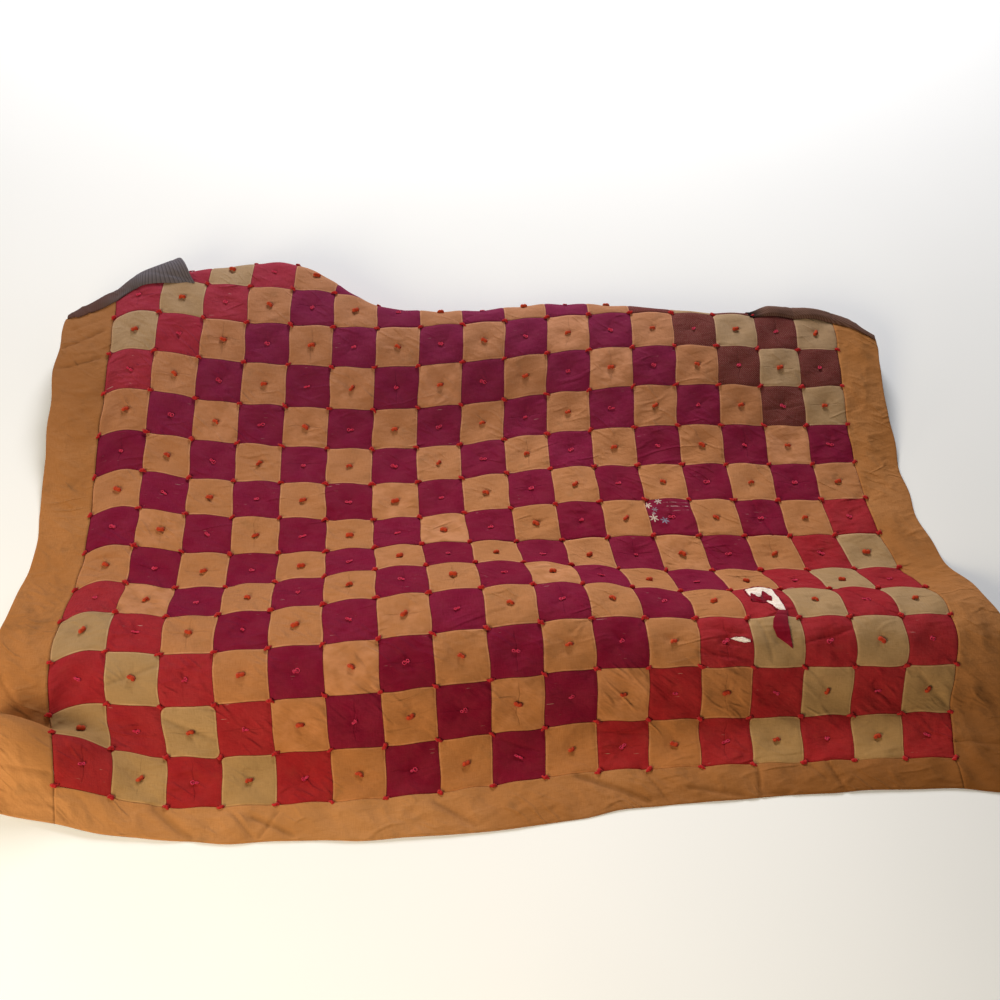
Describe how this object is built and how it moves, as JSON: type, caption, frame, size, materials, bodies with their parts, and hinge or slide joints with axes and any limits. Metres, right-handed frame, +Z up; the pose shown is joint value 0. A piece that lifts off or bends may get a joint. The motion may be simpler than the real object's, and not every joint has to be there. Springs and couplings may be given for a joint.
{
  "type": "patchwork quilt",
  "caption": "Tied patchwork quilt in a plain border, laid out in soft folds with its top end turned under and one corner turned up to its striped back.",
  "frame": {"origin": "on the underside, where the middle of the quilt lies flat on the floor", "axes": "+X to the right along the quilt's width, +Y from the bottom hem towards the turned-under end, +Z up"},
  "size_m": [2.2609, 1.6655, 0.1634],
  "materials": {
    "patchwork": "matt woven cotton squares in plum, tan, rose and cream",
    "border": "matt tan woven cotton",
    "backing": "matt grey-blue cotton with fine stripes",
    "hem_roll": "matt brown woven cotton",
    "crimson_cloth": "matt crimson cotton",
    "wadding": "loose off-white cotton filling"
  },
  "bodies": {
    "root": {"patchwork_field": "patchwork", "border_bottom": "border", "border_top": "border", "border_left": "border", "border_right": "border", "turned_corner": "backing", "rolled_edge": "hem_roll", "torn_strip": "crimson_cloth", "wadding_tear": "wadding", "wadding_slit": "wadding"}
  },
  "joints": []
}
